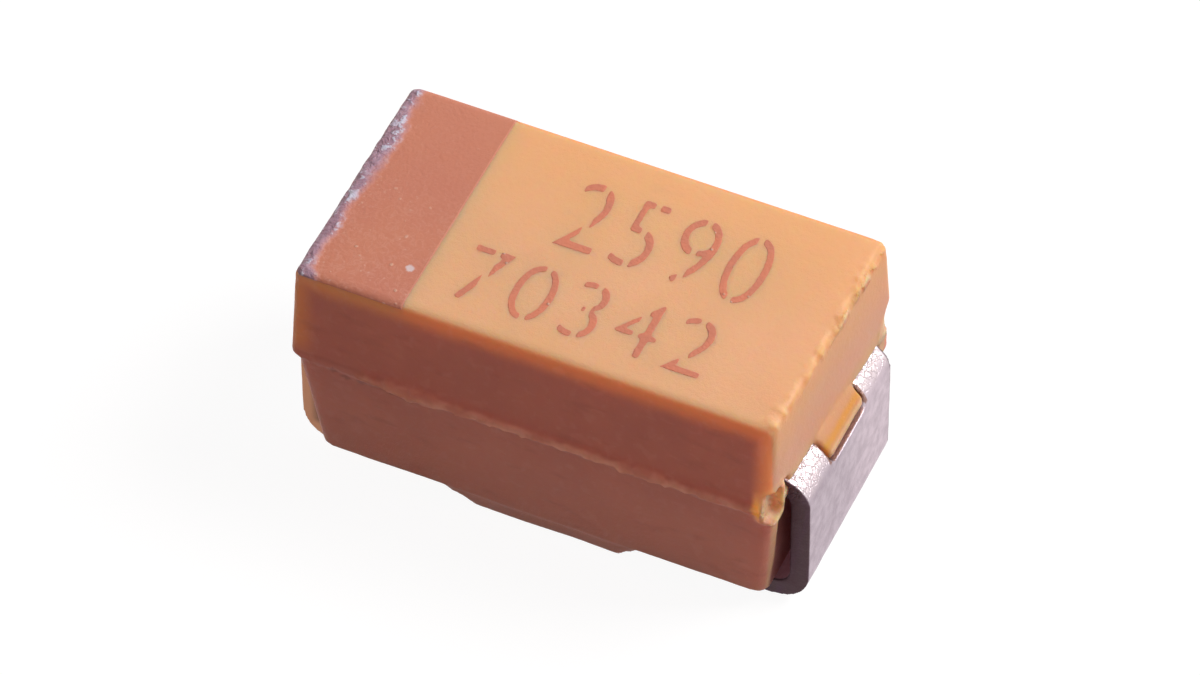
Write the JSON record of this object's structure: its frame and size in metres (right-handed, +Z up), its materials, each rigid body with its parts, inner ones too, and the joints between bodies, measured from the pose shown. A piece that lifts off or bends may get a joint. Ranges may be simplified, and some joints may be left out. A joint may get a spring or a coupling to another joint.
{
  "type": "surface-mount tantalum capacitor",
  "caption": "Moulded chip capacitor: drafted resin case with a polarity band, formed strip terminals folded under both ends, and a dipped pellet on a riser wire inside.",
  "frame": {"origin": "On the solder plane, midway between the two feet", "axes": "+X along the length to the cathode end, +Y across the width, +Z up from the board"},
  "size_m": [0.0032, 0.0016, 0.0016],
  "materials": {
    "mould_epoxy": "matte ochre-orange moulded epoxy, darker and browner on the long sides",
    "marking_ink": "red-brown marking, matte",
    "tinned_strip": "matte tin over nickel-iron strip, cut edges darker",
    "sintered_tantalum": "porous sintered tantalum, dark grey",
    "tantalum_wire": "drawn tantalum wire",
    "ptfe": "white fluoropolymer",
    "manganese_dioxide": "black semiconducting oxide",
    "graphite": "dull grey-black graphite coat",
    "silver_paint": "matte silver-loaded coat",
    "silver_adhesive": "cured silver-loaded adhesive"
  },
  "bodies": {
    "root": {"moulded_case": "mould_epoxy", "polarity_band": "marking_ink", "anode_terminal": "tinned_strip", "cathode_terminal": "tinned_strip", "tantalum_pellet": "sintered_tantalum", "riser_wire": "tantalum_wire", "insulating_washer": "ptfe", "manganese_dioxide_coat": "manganese_dioxide", "graphite_coat": "graphite", "silver_coat": "silver_paint", "conductive_adhesive": "silver_adhesive"}
  },
  "joints": []
}
